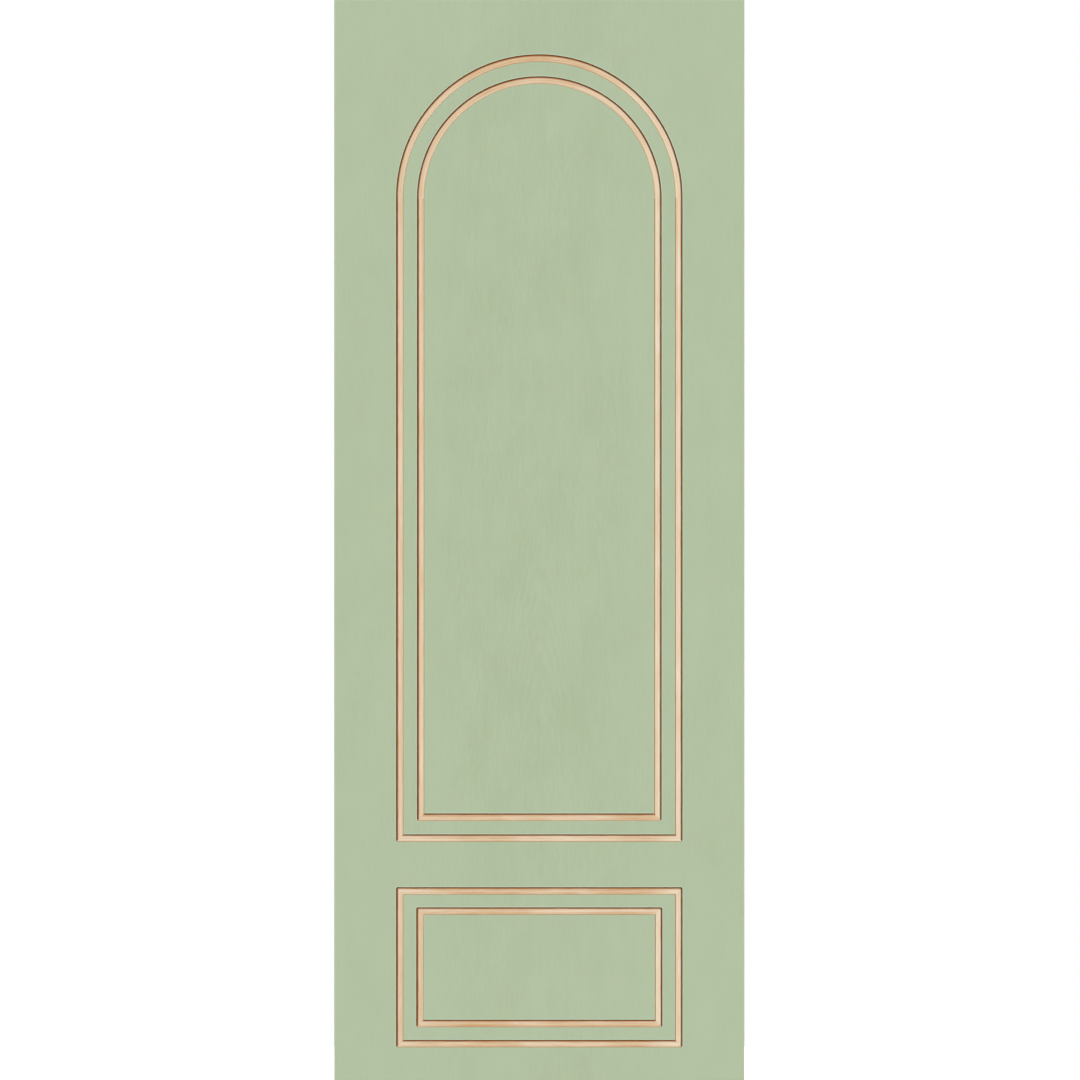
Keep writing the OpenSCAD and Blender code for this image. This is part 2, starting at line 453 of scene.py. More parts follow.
PAINT_GLOSS = 0.35                          # specular level of a matt joinery paint
print("the paint runs from", PAINT_BUILT, "where it is built up to", PAINT_SUNK, "where it sinks")

# %% Sage paint over oak


def sage_paint(name, groove_edges=False):
    """Tone 0.5 is the paint's middle colour, and grain, rings and clouds push it a little both ways."""
    material, tree, shader = finish(name)
    place = add(tree, "TexCoord", out="Object")
    middle = bold_middle(tree, place)
    patch = add(tree, "MapRange", grains(tree, place, PATCH, 3.0), *PATCH_RANGE, **SMOOTH)
    pores = add(tree, "Math", uneven(tree, place, PORE, 3.0, 0.6), patch, operation="MULTIPLY")
    streaks = uneven(tree, place, STREAK)
    clouds = uneven(tree, place, CLOUD, 4.0, 0.6)
    grain = add(tree, "Math", streaks, STREAK_SHARE, crown_rings(tree, place), operation="MULTIPLY_ADD")
    grain = add(tree, "Math", pores, PORE_SHARE, grain, operation="MULTIPLY_ADD")
    flow = add(tree, "Math", clouds, CLOUD_SHARE, grain, operation="MULTIPLY_ADD")
    flow = add(tree, "Math", flow, middle, operation="MULTIPLY")
    tone = add(tree, "Math", flow, TONE, operation="ADD")
    tone = add(tree, "Math", middle, MIDDLE_TONE, tone, operation="MULTIPLY_ADD")
    colour = add(tree, "Mix", {0: tone, 6: card(PAINT_BUILT), 7: card(PAINT_SUNK)}, **COLOURS)
    drift = grains(tree, place, DRIFT, 3.0, out=1)
    colour = add(tree, "Mix", {0: DRIFT_SHARE, 6: colour, 7: drift}, blend_type="SOFT_LIGHT", **COLOURS)
    # painted highlight: the paint turns paler just beside each groove's shaded wall
    if groove_edges:
        shaded = add(tree, "SeparateXYZ", add(tree, "UVMap", uv_map="edge"))
        highlight = add(tree, "MapRange", shaded, *HIGHLIGHT_RANGE, **SMOOTH)
        colour = add(tree, "Mix", {0: highlight, 6: colour, 7: card(PAINTED_HIGHLIGHT)}, **COLOURS)
    roller = add(tree, "Math", grains(tree, place, STIPPLE), STIPPLE_SHARE, operation="MULTIPLY")
    height = add(tree, "Math", grain, -1.0, roller, operation="MULTIPLY_ADD")
    return complete(material, tree, shader, {
        "Base Color": colour,
        "Roughness": add(tree, "MapRange", tone, *PAINT_ROUGHNESS, **SMOOTH),
        "Normal": add(tree, "Bump", {"Strength": PAINT_BUMP, "Distance": PAINT_RELIEF, "Height": height}),
        "IOR": 1.5,
        "Specular IOR Level": PAINT_GLOSS,
    })


GROOVED_PAINT = sage_paint("sage_joinery_paint_on_routed_oak_veneer", groove_edges=True)
PLAIN_PAINT = sage_paint("sage_joinery_paint_on_oak_veneer")

# %% [markdown]
# ### Bare beech
#
# Common name: steamed beech, sanded and left bare. It is a pale pinkish wood with fine, even fibres, seen
# as short streaks about a millimetre wide that run along the strip. The strips turn corners and bend
# round the arch, so the pattern follows the strip's own coordinates and not the door's.
#
# The strips come from three boards: a mid-toned one on the left, a paler one on the right, and a redder
# one for the level strips. These were sliced side by side, so they share that board's broad figure, and
# near the mitres they turn to the tone of the strip they meet. A bent strip turns all the way round.
#
# One side of each groove carries a painted shadow on the strip: a dark brown line laid over the real shadow
# that the wall casts there, which fades over a few millimetres.

# %% The beech boards
BEECH_TONES = {            # pale wood and late wood
    "left": ("#EEDBC0", "#DBC098"),
    "right": ("#F4E8D0", "#E2C8A1"),
    "cross": ("#EEDBBF", "#D3AB7D"),
}
# painted shadow: the dark brown laid along each strip's shaded side, over the real shadow there
PAINTED_SHADOW = "#9C5B28"
FIBRE = (60 * MM, 2.2 * MM, 1.0)
LINE = (1200 * MM, 3.4 * MM, 1.0)
FLAME = (110 * MM, 30 * MM, 1.0)
FLICKER = (35 * MM, 1.0, 1.0)               # the painted shadow's border wavers over this distance
FIBRE_SHARE = 0.45                          # short fibres, against long lines
FIGURE_SHARE = 0.55                         # fibres and lines, against the slow flame
STREAK_RANGE, FLAME_RANGE = (0.41, 0.59), (0.25, 0.75)
BOARD_FIGURE = 0.29       # metres from one pale band of the cross board to the next
PALE_BAND = 0.050         # where that board is palest, measured from the door's middle line
BOARD_STRENGTH = 0.11
print(len(BEECH_TONES), "beech boards")

# %% Tones of a strip


def broad_figure(tree, x, flame):
    """The cross board's figure on top of the flame: flame - 0.11 cos(2 pi (x - pale band) / figure)."""
    offset = add(tree, "Math", x, PALE_BAND, operation="SUBTRACT")
    turn = add(tree, "Math", offset, 2 * math.pi / BOARD_FIGURE, operation="MULTIPLY")
    wave = add(tree, "Math", turn, operation="COSINE")
    return add(tree, "Math", wave, -BOARD_STRENGTH, flame, operation="MULTIPLY_ADD")


def strip_tones(tree, board, x, ends):
    """A board's pale and late colour, turned to the side boards' where |x| goes from ends[0] to ends[1]."""
    tones = [card(tone) for tone in BEECH_TONES[board]]
    for side, way in (("left", -1.0), ("right", 1.0)) if ends else ():
        outward = add(tree, "Math", x, way, operation="MULTIPLY")
        part = add(tree, "MapRange", outward, *ends, **SMOOTH)
        tones = [add(tree, "Mix", {0: part, 6: tone, 7: card(end)}, **COLOURS)
                 for tone, end in zip(tones, BEECH_TONES[side])]
    return tones


print("the cross board is palest", round(PALE_BAND / MM), "mm to the right of the middle line")

# %% Bare beech
LIT_RANGE = (0.86, 0.96)                    # nearness to the lit wall where its painted tint sets in: painted reflection, and brown painted shade on the right strips
FLICKER_SHARE = 0.10
BEECH_RELIEF, BEECH_BUMP = 0.08 * MM, 0.3
BEECH_ROUGHNESS = (0.3, 0.7, 0.6, 0.72)
BEECH_GLOSS = 0.1                           # bare wood hardly shines


def bare_beech(name, board, lit_wall_tint, lit_wall_tint_strength, painted_shadow, ends=None, shared=False):
    """Two tones, pale and late wood, mixed by long lines, short fibres and a slow flame.

    The colour along the lit wall is a painted tint: a tan painted reflection from that wall on most strips,
    and a brown painted corner shade on the right ones. The (start, full, strength) triple paints a dark
    brown shadow along the shaded wall, where 0 is the lit wall and 1 the shaded one. ends blends the tones
    into the side boards', and shared adds the cross board's broad figure.
    """
    material, tree, shader = finish(name)
    x = add(tree, "SeparateXYZ", add(tree, "TexCoord", out="Object"))
    place = add(tree, "UVMap", uv_map="grain")
    shaded, lit, _ = add(tree, "SeparateXYZ", add(tree, "UVMap", uv_map="edge")).node.outputs
    fibres = grains(tree, place, FIBRE, 3.0, 0.6)
    streaks = shares(tree, FIBRE_SHARE, fibres, grains(tree, place, LINE, 1.0))
    flame = grains(tree, place, FLAME, 3.0)
    if shared:
        flame = broad_figure(tree, x, flame)
    depth = shares(tree, FIGURE_SHARE, add(tree, "MapRange", streaks, *STREAK_RANGE, **SMOOTH),
                   add(tree, "MapRange", flame, *FLAME_RANGE, **SMOOTH))
    pale, late = strip_tones(tree, board, x, ends)
    colour = add(tree, "Mix", {0: depth, 6: pale, 7: late}, **COLOURS)
    lit_wall_tint_share = add(tree, "MapRange", lit, *LIT_RANGE, 0.0, lit_wall_tint_strength, **SMOOTH)
    colour = add(tree, "Mix", {0: lit_wall_tint_share, 6: colour, 7: card(lit_wall_tint)}, **COLOURS)
    # painted shadow: a dark brown band along the shaded wall, with a wavering border
    flicker = uneven(tree, place, FLICKER)
    reach = add(tree, "Math", flicker, FLICKER_SHARE, shaded, operation="MULTIPLY_ADD")
    start, full, strength = painted_shadow
    painted_shadow_share = add(tree, "MapRange", reach, start, full, 0.0, strength, **SMOOTH)
    colour = add(tree, "Mix", {0: painted_shadow_share, 6: colour, 7: card(PAINTED_SHADOW)}, **COLOURS)
    return complete(material, tree, shader, {
        "Base Color": colour,
        "Roughness": add(tree, "MapRange", streaks, *BEECH_ROUGHNESS, **SMOOTH),
        "Normal": add(tree, "Bump", {"Strength": BEECH_BUMP, "Distance": BEECH_RELIEF, "Height": fibres}),
        "IOR": 1.5,
        "Specular IOR Level": BEECH_GLOSS,
    })


# the third colour is painted along each strip's lit wall: a tan painted reflection on the left, level and
# bent strips, and a brown painted corner shade on the right strips
LEFT_BEECH = bare_beech("steamed_beech_strip_left", "left", "#D8AC7C", 0.6, (0.62, 0.82, 0.97))
RIGHT_BEECH = bare_beech("steamed_beech_strip_right", "right", "#A8733F", 0.9, (0.66, 0.86, 0.97))
CROSS_BEECH = bare_beech("steamed_beech_strip_cross", "cross", "#D2A574", 0.15, (0.68, 0.88, 0.92),
                         ends=(0.20, 0.27), shared=True)
BENT_BEECH = bare_beech("steamed_beech_strip_bent", "cross", "#D2A574", 0.25, (0.66, 0.86, 0.95),
                        ends=(0.0, 0.30))

# %% [markdown]
# ### Routed and sawn edges
#
# The router cuts through the paint and the veneer into the board, so a groove's wall is bare. Its colour
# carries painted light and shade: an orange tan on the lit side and a dark brown on the shaded side. The
# board's sawn top and bottom edges are the same fine tan fibreboard, left as the saw leaves them.

# %% Routed wall
# painted light and shade on a groove's wall: orange tan where it is lit, dark brown where it is shaded
WALL_LIT = "#CF9F6C"
WALL_PAINTED_SHADE = "#7A4320"
FIBREBOARD = "#B3916A"
FIBREBOARD_DARK = "#9A7850"
CUTTER_MARK = (30 * MM, 2 * MM, 1.0)
MARK_RANGE = (0.3, 0.7, 0.0, 0.35)          # the darkest marks are a third of the way to dark board
WALL_SHADE_RANGE = (0.4, 0.6)                    # between the lit wall's 0 and the shaded wall's 1


def routed_wall(name):
    """Painted light and shade: an orange tan with darker cutter marks, turning to dark brown where the wall
    is the shaded one.
    """
    material, tree, shader = finish(name)
    shaded = add(tree, "SeparateXYZ", add(tree, "UVMap", uv_map="edge"))
    place = add(tree, "UVMap", uv_map="grain")
    mark = add(tree, "MapRange", grains(tree, place, CUTTER_MARK, 3.0), *MARK_RANGE, **SMOOTH)
    cut = add(tree, "Mix", {0: mark, 6: card(WALL_LIT), 7: card(FIBREBOARD_DARK)}, **COLOURS)
    wall_painted_shade = add(tree, "MapRange", shaded, *WALL_SHADE_RANGE, **SMOOTH)
    colour = add(tree, "Mix", {0: wall_painted_shade, 6: cut, 7: card(WALL_PAINTED_SHADE)}, **COLOURS)
    return complete(material, tree, shader, {"Base Color": colour, "Roughness": 0.75})


ROUTED_WALL = routed_wall("routed_board_wall")

# %% Sawn board edge
SPECK = (0.8 * MM, 0.8 * MM, 0.8 * MM)      # fibreboard's felted fibres
SAW_MARK = (6 * MM, 40 * MM, 40 * MM)
SPECK_SHARE = 0.6                           # specks, against saw marks
SAWN_RELIEF = 0.1 * MM                      # how deep a saw or a plane leaves its marks
DARK_RANGE = (0.3, 0.7)


def board_edge(name):
    """Fine specks and broader saw marks between two tans."""
    material, tree, shader = finish(name)
    place = add(tree, "TexCoord", out="Object")
    speck = grains(tree, place, SPECK, 4.0, 0.7)
    mixed = shares(tree, SPECK_SHARE, speck, grains(tree, place, SAW_MARK))
    dark = add(tree, "MapRange", mixed, *DARK_RANGE, **SMOOTH)
    colour = add(tree, "Mix", {0: dark, 6: card(FIBREBOARD), 7: card(FIBREBOARD_DARK)}, **COLOURS)
    return complete(material, tree, shader, {
        "Base Color": colour,
        "Roughness": 0.8,
        "Normal": add(tree, "Bump", {"Strength": 0.4, "Distance": SAWN_RELIEF, "Height": speck}),
    })


BOARD_EDGE = board_edge("sawn_fibreboard_edge")

# %% [markdown]
# ### Timber of the blank
#
# The stiles, rails and staves are planed pine, and the lippings and dowels are hardwood. Only their ends
# show, on the leaf's unpainted top and bottom edges. Pine has wide growth rings: pale soft early wood
# and darker late wood. Cut across, they are arcs about the tree's heart, so the same cone formula serves.
# The `fibre` axis says which way the tree grew.

# %% Growth rings
TIMBERS = {                # early wood, late wood and the distance between rings
    "pine": ("#E2C391", "#BE8B4F", 4.5 * MM),
    "beech_core": ("#D3AC80", "#B98A5C", 2.2 * MM),
}
LOG_TAPER = 0.02
LOG_WANDER = 12 * MM
FINE, FINE_LENGTH = 0.5 * MM, 15 * MM       # a fibre's width and length
SLOW, SLOW_LENGTH = 50 * MM, 600 * MM       # rings wander over these distances
LATE_RANGE, LATE_SHARE = (0.35, 0.95), 0.7  # late wood begins a third of the way out


def ring_depth(tree, place, fibre, heart, spacing, fibres):
    """How late the wood is: the fraction of (distance from the heart + taper * length) / spacing."""
    shifted = add(tree, "VectorMath", place, heart, operation="SUBTRACT")
    x, y, z = add(tree, "SeparateXYZ", shifted).node.outputs
    lengthways, wide = (z, x) if fibre == "Z" else (x, z)
    stretch = (SLOW, SLOW, SLOW_LENGTH) if fibre == "Z" else (SLOW_LENGTH, SLOW, SLOW)
    wander = add(tree, "Math", grains(tree, place, stretch), LOG_WANDER, operation="MULTIPLY")
    across = add(tree, "CombineXYZ", wide, y)
    radius = add(tree, "VectorMath", across, operation="LENGTH", out="Value")
    cone = add(tree, "Math", lengthways, LOG_TAPER, radius, operation="MULTIPLY_ADD")
    ring = add(tree, "Math", cone, wander, operation="ADD")
    turn = add(tree, "Math", add(tree, "Math", ring, spacing, operation="DIVIDE"), operation="FRACT")
    late = add(tree, "MapRange", turn, *LATE_RANGE, **SMOOTH)
    return shares(tree, LATE_SHARE, late, fibres)


print("rings lie", {species: round(timber[2] / MM, 1) for species, timber in TIMBERS.items()}, "mm apart")

# %% Planed timber


def planed_timber(name, species, fibre, heart, paint=None):
    """Rings about an axis through heart = (x, y, z) along fibre ("X" or "Z").

    paint takes the tree, the place and the bare colour, and returns the colour with paint on it.
    """
    early, late, spacing = TIMBERS[species]
    material, tree, shader = finish(name)
    place = add(tree, "TexCoord", out="Object")
    fine = (FINE, FINE, FINE_LENGTH) if fibre == "Z" else (FINE_LENGTH, FINE, FINE)
    fibres = grains(tree, place, fine)
    depth = ring_depth(tree, place, fibre, heart, spacing, fibres)
    colour = add(tree, "Mix", {0: depth, 6: card(early), 7: card(late)}, **COLOURS)
    return complete(material, tree, shader, {
        "Base Color": paint(tree, place, colour) if paint else colour,
        "Roughness": 0.65,
        "Normal": add(tree, "Bump", {"Strength": 0.3, "Distance": SAWN_RELIEF, "Height": fibres}),
    })


# %% [markdown]
# ### Painted long edges
#
# The lippings are hardwood, but their long outer edge is painted with the faces. Only their sawn ends
# stay bare, so this finish is the paint wherever the surface looks sideways and bare timber on the ends.

# %% Painted lipping
LIPPING_CLOUD = (3 * MM, 3 * MM, 40 * MM)
LIPPING_TONE = 0.5        # how far its clouds go towards sunken paint
LIPPING_HEART = (0.0, 50 * MM, 0.0)
END_RANGE = (0.4, 0.6)    # how far up or down a surface looks where paint gives way to bare wood


def edge_paint(tree, place, bare):
    """Paint where the surface looks sideways, and bare wood where it looks up or down."""
    facing = add(tree, "NewGeometry", out="Normal")
    upright = add(tree, "SeparateXYZ", facing).node.outputs[2]
    ends = add(tree, "MapRange", add(tree, "Math", upright, operation="ABSOLUTE"), *END_RANGE, **SMOOTH)
    cloud = add(tree, "Math", grains(tree, place, LIPPING_CLOUD, 3.0), LIPPING_TONE, operation="MULTIPLY")
    paint = add(tree, "Mix", {0: cloud, 6: card(PAINT_BUILT), 7: card(PAINT_SUNK)}, **COLOURS)
    return add(tree, "Mix", {0: ends, 6: paint, 7: bare}, **COLOURS)


PAINTED_LIPPING = planed_timber("sage_joinery_paint_on_hardwood_lipping", "beech_core", "Z",
                                LIPPING_HEART, edge_paint)

# %% [markdown]
# ## The front board
#
# A flat sheet with four routed grooves is a patchwork of grids. Each groove gives three bands along every
# run: the paint beside its outer wall, the bare routed section, and the paint beside its inner wall.
# Flat infill joins one outline to the next, and the softened rim closes the sheet. Every grid shares
# its edge points with its neighbours, so the merged board is closed.

# %% Bands of a groove
PAINT_BAND = 4 * MM       # width of the paint band along each edge of a groove
EASE_STEPS = 5
quarter = np.linspace(0, np.pi / 2, EASE_STEPS + 1)    # the quarter circle q of every softened edge


def lift(points, y):
    """Puts flat points (x, z) at depth y; y may be one number or one for each column."""
    return np.stack([points[..., 0], np.broadcast_to(y, points.shape[:-1]), points[..., 1]], -1)


def groove_bands():
    """Columns of the three bands: insets, depths, nearness to the outer wall, and the material slot.

    The softened edges are quarter circles, (e sin q, e - e cos q), between the face and the walls.
    """
    e, w = GROOVE_EASE, groove_width
    inset, depth = e * np.sin(quarter) - e, face_y + e - e * np.cos(quarter)
    routed = np.concatenate([inset, [0.0, w], w - inset[::-1]])
    depths = np.concatenate([depth, [floor_y, floor_y], depth[::-1]])
    near = np.where(routed < w / 2, 1.0, 0.0)
    outer = np.array([-PAINT_BAND, -2 * e, -e])
    inner = np.array([w + e, w + 2 * e, w + PAINT_BAND])
    rise = np.array([0.0, 1.0, 1.0])
    return [(outer, np.full(3, face_y), rise, 0), (routed, depths, near, 1),
            (inner, np.full(3, face_y), 0 * rise, 0)], rise[::-1]


def groove_grids(line):
    """The bands along all runs. The shaded wall is the outer one, but the inner one along a foot."""
    bands, inner_rise = groove_bands()
    grids = []
    for side in sides(line):
        for number, (insets, depths, near_outer, slot) in enumerate(bands):
            points, along = run(line, side, insets)
            near_inner = [0 * near_outer, 1 - near_outer, inner_rise][number]
            pair = (near_inner, near_outer) if side == "foot" else (near_outer, near_inner)
            edge = np.stack(pair, -1)[None] * np.ones((len(points), 1, 1))
            grain = np.stack([along, 0 * along + insets], -1)
            grids.append(grid(lift(points, depths), grain, edge, slot))
    return grids


print("a groove is", len(groove_grids(OUTER_ARCH)), "grids")

# %% The rim's inner border and the zones
rim_x = half_leaf - 2 * BOARD_EASE
rim_low, rim_high = leaf_low[2] + 2 * BOARD_EASE, leaf_top - 2 * BOARD_EASE
zone_split = (LOWER_OUTER["top"] + OUTER_ARCH["bottom"]) / 2
AT_LEAST = 1e-9           # keeps a division from meeting zero
SAME = 1e-7               # places nearer than this, in metres, are one place
print("zones meet", round(zone_split, 4), "m above the floor")


def inner_edge(line, side):
    """Where the paint band inside a groove ends."""
    return run(line, side, [groove_width + PAINT_BAND])[0][:, 0]


def outer_edge(line, side):
    """Where the paint band outside a groove ends."""
    return run(line, side, [-PAINT_BAND])[0][:, 0]


def zone_border(line, side, low, high):
    """The zone's straight border, with one point for each point of the outline's run beside it.

    Straight runs are stretched to the border's length. Round the bend, each point goes straight out
    from the arch's centre to the border, and the nearest one to the zone's corner is moved onto it.
    """
    x, z = outer_edge(line, side).T
    if side in ("left", "right"):
        end = line["top"] if line["head"] == "bend" else high
        return np.stack([np.sign(x) * rim_x, low + (z - z[0]) / (z[-1] - z[0]) * (end - low)], 1)
    if side in ("foot", "top"):
        return np.stack([x / abs(x[0]) * rim_x, np.full(len(x), low if side == "foot" else high)], 1)
    rise = z - line["top"]
    scale = np.minimum(rim_x / np.maximum(abs(x), AT_LEAST),
                       (high - line["top"]) / np.maximum(rise, AT_LEAST))
    border = np.stack([x * scale, line["top"] + rise * scale], 1)
    for corner in ((-rim_x, high), (rim_x, high)):
        border[np.argmin(np.hypot(*(border - corner).T))] = corner
    return border


# %% Flat infill


def strip_between(first, second):
    """A grid one quad wide from each point of the first line to its fellow on the second."""
    return grid(lift(np.stack([first, second], 1), face_y))


def field(line):
    """The plain field inside an inner outline: columns from its foot, rows up its sides and its head.

    Each row is the foot's row scaled to the field's half width there, which shrinks round the bend.
    """
    x = inner_edge(line, "foot")[:, 0]
    side = inner_edge(line, "right")
    if line["head"] == "bend":
        side = np.concatenate([side, inner_edge(line, "bend")[ARCH_STEPS // 2:][::-1][1:]])
    points = np.stack([side[:, :1] * (x / x[-1])[None], side[:, 1:] + 0 * x[None]], -1)
    return grid(lift(points, face_y))


flat, borders = [], {}
for outer, inner, low, high in ((OUTER_ARCH, INNER_ARCH, zone_split, rim_high),
                                (LOWER_OUTER, LOWER_INNER, rim_low, zone_split)):
    for side in sides(outer):
        borders[outer["name"], side] = zone_border(outer, side, low, high)
        flat.append(strip_between(borders[outer["name"], side], outer_edge(outer, side)))
        flat.append(strip_between(inner_edge(outer, side), outer_edge(inner, side)))
    flat.append(field(inner))
print(len(flat), "flat grids around and between the outlines")

# %% [markdown]
# ### The rim
#
# The board's four outer edges are softened by a quarter circle and then run straight back. The rim's
# corners are mitred like a picture frame: a corner point moves outwards both ways at once.

# %% Rim of a board


def rim(border, face, back):
    """Four stretches round a rectangle and the closing cap at the board's inner face.

    border holds the points (x, z) of each stretch, which lie 2 e inside the edge. A flat band e wide
    keeps the face's shading flat. Then a point moves out by e sin q while the depth goes from the face
    by e - e cos q, and the flat edge follows.
    """
    inward = np.sign(back - face)
    near = MM / 10
    out = BOARD_EASE * np.concatenate([[0.0], 1 + np.sin(quarter), [2.0, 2.0]])
    depth = face + inward * BOARD_EASE * np.concatenate([[0.0], 1 - np.cos(quarter), [1.5, 0.0]])
    depth[-1] = back
    grids, ring = [], []
    for name, points in border.items():
        way = np.stack([np.sign(points[:, 0]) * (abs(points[:, 0]) > rim_x - near),
                        np.where(points[:, 1] > rim_high - near, 1.0,
                                 np.where(points[:, 1] < rim_low + near, -1.0, 0.0))], -1)
        moved = points[:, None] + out[None, :, None] * way[:, None]
        places = lift(moved, depth)
        sawn = 2 if name in ("top", "bottom") else 0
        grids += [grid(places[:, :-2]), grid(places[:, -3:], slot=sawn)]
        ring.append(places[:-1, -1])
    return grids, (np.concatenate(ring), 0)


def in_order(points, axis, descending=False):
    """Points sorted along one axis, each place once."""
    points = points[np.argsort(points[:, axis])]
    points = points[np.append(True, np.diff(points[:, axis]) > SAME)]
    return points[::-1] if descending else points


print("the rim takes", len(quarter) + 3, "points from the face to the board's back")

# %% Front board
bend = borders["outer_arch", "bend"]
on_left, on_right = bend[:, 0] < -rim_x + SAME, bend[:, 0] > rim_x - SAME
on_top = bend[:, 1] > rim_high - SAME
front_border = {
    "left": in_order(np.concatenate([borders["lower_outer", "left"], borders["outer_arch", "left"],
                                     bend[on_left]]), 1),
    "top": in_order(bend[on_top], 0),
    "right": in_order(np.concatenate([borders["lower_outer", "right"], borders["outer_arch", "right"],
                                      bend[on_right]]), 1, descending=True),
    "bottom": in_order(borders["lower_outer", "foot"], 0, descending=True),
}
grids, cap = rim(front_border, face_y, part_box("front_face")[1][1])
for line in OUTLINES:
    grids += groove_grids(line)
front_board = make_piece("front_board", grids + flat, [cap], [GROOVED_PAINT, ROUTED_WALL, BOARD_EDGE])
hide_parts("front_face")
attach(front_board, "root")

# %% [markdown]
# ## The back board
#
# The same rim round a plain face. The face is one grid, two points each way.

# %% Back board
corners = np.array([[-rim_x, rim_low], [-rim_x, rim_high], [rim_x, rim_high], [rim_x, rim_low]])
back_border = {name: corners[[k, (k + 1) % 4]] for k, name in enumerate(("left", "top", "right", "bottom"))}
back_y = leaf_high[1]
grids, cap = rim(back_border, back_y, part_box("back_face")[0][1])
face = grid(lift(corners[[0, 1, 3, 2]].reshape(2, 2, 2), back_y))
back_board = make_piece("back_board", grids + [face], [cap], [PLAIN_PAINT, ROUTED_WALL, BOARD_EDGE])
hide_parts("back_face")
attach(back_board, "root")

# %% [markdown]
# ## The inlaid strips
#
# Each strip is one small closed section carried along one run: flat underneath, square sides, and a top
# whose edges are softened by sandpaper. The fibres follow the strip, so `grain` is measured along and
# across the run. Every strip starts at its own place on the timber, as if cut from a different length.

# %% Section of a strip
STRIP_EASE = 0.4 * MM


def strip_section():
    """The closed section, as insets and depths: up one side, over the softened top, down the other."""
    e, low, high = STRIP_EASE, GLUE_GAP, groove_width - GLUE_GAP
    inset = low + e * np.append(1 - np.cos(quarter), 2.0)
    depth = strip_y + e * np.append(1 - np.sin(quarter), 0.0)
    insets = np.concatenate([[low], inset, (low + high) - inset[::-1], [high, low]])
    depths = np.concatenate([[floor_y], depth, depth[::-1], [floor_y, floor_y]])
    return insets, depths


insets, depths = strip_section()
across = insets / groove_width
print("a strip is", round(np.ptp(insets) / MM, 2), "mm wide and", round(np.ptp(depths) / MM, 2), "mm thick")

# %% Sixteen strips
OFFCUT = 3.7              # metres of timber between one strip's pattern and the next
BEECH = {"left": LEFT_BEECH, "right": RIGHT_BEECH, "bend": BENT_BEECH, "foot": CROSS_BEECH,
         "top": CROSS_BEECH}

for number, (line, side) in enumerate((line, side) for line in OUTLINES for side in sides(line)):
    points, along = run(line, side, insets)
    places = lift(points, depths)
    near = np.stack([across, 1 - across] if side == "foot" else [1 - across, across], -1)
    edge = near[None] * np.ones((len(points), 1, 1))
    grain = np.stack([along + number * OFFCUT, 0 * along + insets + number * OFFCUT], -1)
    ends = [(places[0, :-1], 0), (places[-1, :-1], 0)]
    node = f"{line['name']}_{side}"
    strip = make_piece(f"strip_{node}", [grid(places, grain, edge)], ends, [BEECH[side]])
    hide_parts(node)
    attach(strip, "root")

# %% [markdown]
# ## The blank between the boards
#
# Stiles, rails, lippings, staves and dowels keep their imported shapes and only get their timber. Each
# piece has its own heart, the centre of its growth rings, a little outside the board it was sawn from.

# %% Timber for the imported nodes
HEART_BEHIND = 40 * MM


def dress(node, material):
    """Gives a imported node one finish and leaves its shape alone."""
    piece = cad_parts[node]
    piece.data.materials.clear()
    piece.data.materials.append(material)


for node in ("hinge_lipping", "latch_lipping"):
    dress(node, PAINTED_LIPPING)
for node in ("hinge_stile", "latch_stile", *(f"core_stave_{k}" for k in range(1, 9))):
    low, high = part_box(node)
    way = 1 if sum(map(ord, node)) % 2 else -1    # boards are turned over by turns, so they stay flat
    heart = ((low[0] + high[0]) / 2, way * HEART_BEHIND, 0.0)
    dress(node, planed_timber(f"planed_pine_{node}", "pine", "Z", heart))
for node in ("top_rail", "bottom_rail"):
    low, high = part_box(node)
    heart = (0.0, HEART_BEHIND, (low[2] + high[2]) / 2)
    dress(node, planed_timber(f"planed_pine_{node}", "pine", "X", heart))
dress("frame_dowels", planed_timber("turned_beech_dowel", "beech_core", "X", (0.0, HEART_BEHIND, 0.0)))
print("packed nodes left in sight:", sum(not piece.hide_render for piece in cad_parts.values()))

# %% [markdown]
# ## Studio
#
# The leaf stands on a plain pale floor in soft light. A long lens looks at it square on from far away,
# so its sides stay hidden and its outlines stay true. Two soft lamps light it from the upper left and
# the upper right. A thin flag stands between them on the leaf's middle line, so that each half is lit
# only from its own side and every groove is shaded under its outer or its upper wall. A third lamp
# lights the back, for whoever walks round the leaf.

# %% Camera
scene = bpy.context.scene
scene.view_settings.view_transform = "Standard"
CAMERA_DISTANCE = 60.0
SENSOR = 36.0             # millimetres
VIEW_OFFSET = 1.4 * MM    # the leaf sits a hair left of the view's middle
VIEW_HEIGHT = leaf_top - leaf_low[2] - BOARD_EASE   # crops half of each softened end
camera_data = bpy.data.cameras.new("camera")
camera_data.sensor_width = SENSOR
camera_data.lens = SENSOR * CAMERA_DISTANCE / VIEW_HEIGHT
camera_data.clip_end = 4 * CAMERA_DISTANCE
camera = bpy.data.objects.new("camera", camera_data)
camera.location = (VIEW_OFFSET, face_y - CAMERA_DISTANCE, (leaf_top + leaf_low[2]) / 2)
camera.rotation_euler = (math.pi / 2, 0.0, 0.0)
scene.collection.objects.link(camera)
scene.camera = camera
print("lens", round(camera_data.lens), "mm at", CAMERA_DISTANCE, "m")

# %% Lamps
LAMP_SIDEWAYS, LAMP_UP = 0.6, 0.45     # slope of the light: metres along the face for each metre out
KEY_STRENGTH, KEY_SOFTNESS = 1.545, 18
BACK_UP = 0.9                          # the same slope for the lamp behind the leaf
BACK_STRENGTH, BACK_SOFTNESS = 1.42, 8


def lamp(name, towards, strength, softness):
    """A soft, even lamp whose light comes from the given direction; softness is its width in degrees."""
    data = bpy.data.lights.new(name, "SUN")
    data.energy = strength
    data.angle = math.radians(softness)
    piece = bpy.data.objects.new(name, data)
    x, y, z = np.array(towards) / np.linalg.norm(towards)
    piece.rotation_euler = (math.acos(z), 0.0, math.atan2(y, x) + math.pi / 2)
    scene.collection.objects.link(piece)


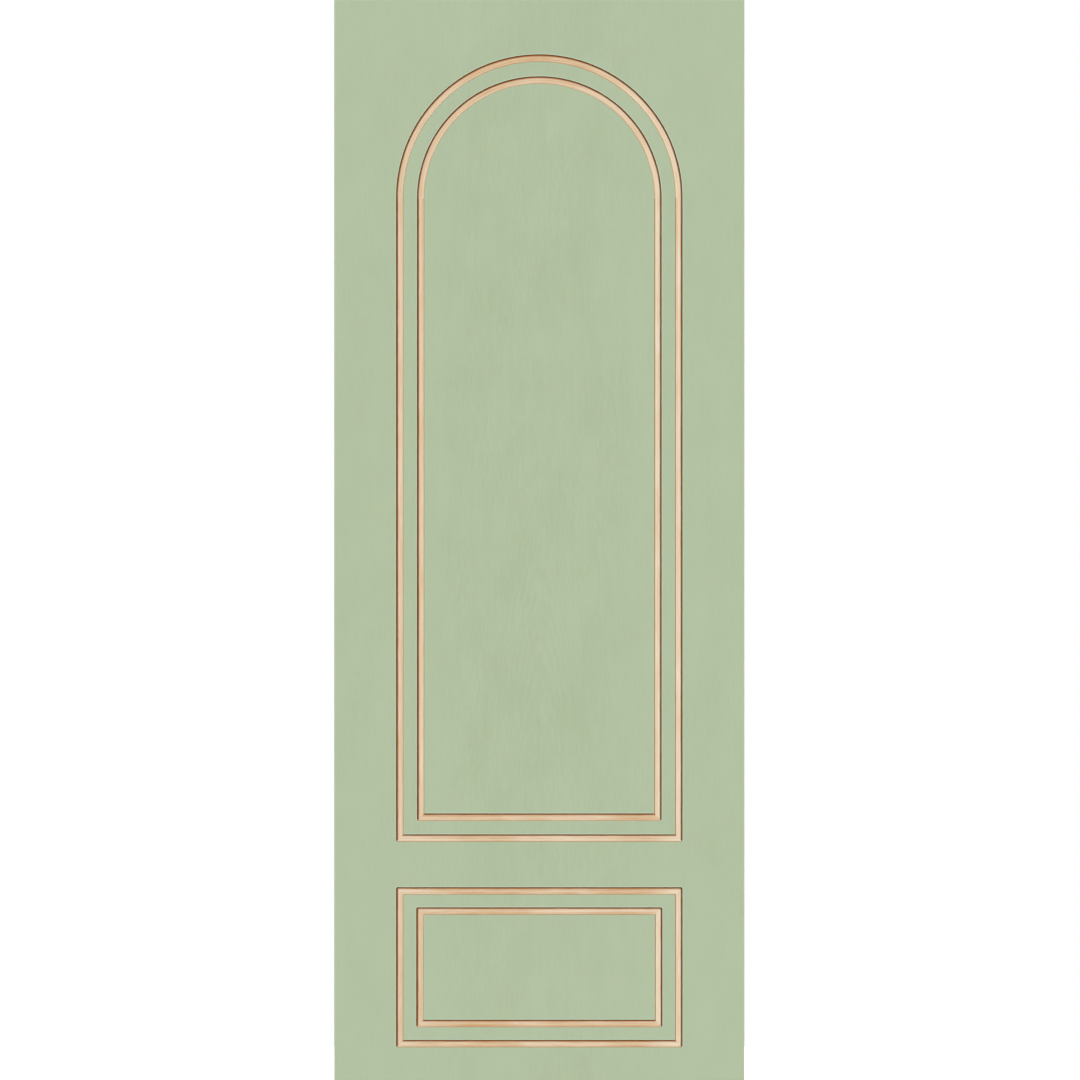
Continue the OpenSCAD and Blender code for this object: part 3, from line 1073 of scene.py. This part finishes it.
lamp("lamp_left", (-LAMP_SIDEWAYS, -1.0, LAMP_UP), KEY_STRENGTH, KEY_SOFTNESS)
lamp("lamp_right", (LAMP_SIDEWAYS, -1.0, LAMP_UP), KEY_STRENGTH, KEY_SOFTNESS)
lamp("lamp_behind", (0.0, 1.0, BACK_UP), BACK_STRENGTH, BACK_SOFTNESS)

# %% Flag and floor
WHITE = (1.0, 1.0, 1.0, 1.0)
FLAG_REACH, FLAG_TOP = 1.5, 4.5    # metres in front of the leaf's middle plane, and above the floor
FLAG_BACK = leaf_high[1]
FLOOR_HALF = 4.0
FLOOR_TONE, FLOOR_GLOW = "#D0D0CE", 0.72    # the glow lifts the floor to the backdrop's white


def panel(name, corners, material=None):
    """A four-cornered sheet of studio gear, given by its corners in order round it."""
    mesh = bpy.data.meshes.new(name)
    mesh.from_pydata([tuple(c) for c in corners], [], [(0, 1, 2, 3)])
    if material:
        mesh.materials.append(material)
    piece = bpy.data.objects.new(name, mesh)
    scene.collection.objects.link(piece)
    return piece


flag = panel("flag", [(0, -FLAG_REACH, 0), (0, FLAG_BACK, 0), (0, FLAG_BACK, FLAG_TOP),
                      (0, -FLAG_REACH, FLAG_TOP)])
flag.visible_camera = flag.visible_diffuse = flag.visible_glossy = flag.visible_transmission = False

floor_material = complete(*finish("pale_studio_floor"), {
    "Base Color": card(FLOOR_TONE),
    "Roughness": 0.9,
    "Emission Color": WHITE,
    "Emission Strength": FLOOR_GLOW,
})
floor = panel("floor", [(-FLOOR_HALF, -FLOOR_HALF, 0), (FLOOR_HALF, -FLOOR_HALF, 0),
                        (FLOOR_HALF, FLOOR_HALF, 0), (-FLOOR_HALF, FLOOR_HALF, 0)], floor_material)
floor.visible_diffuse = floor.visible_glossy = floor.visible_shadow = False

# %% Room
ROOM_LIGHT = 0.6          # the room's white walls light the leaf less than they show to the camera

world = bpy.data.worlds.new("studio")
scene.world = world
world.use_nodes = True
tree = world.node_tree
room = tree.nodes["Background"]
room.inputs["Color"].default_value = WHITE
room.inputs["Strength"].default_value = ROOM_LIGHT
seen = add(tree, "Background", WHITE, 1.0)
straight = add(tree, "LightPath", out="Is Camera Ray")
mix = add(tree, "MixShader", straight, room.outputs[0], seen)
tree.links.new(mix, tree.nodes["World Output"].inputs[0])
print("room light", ROOM_LIGHT)
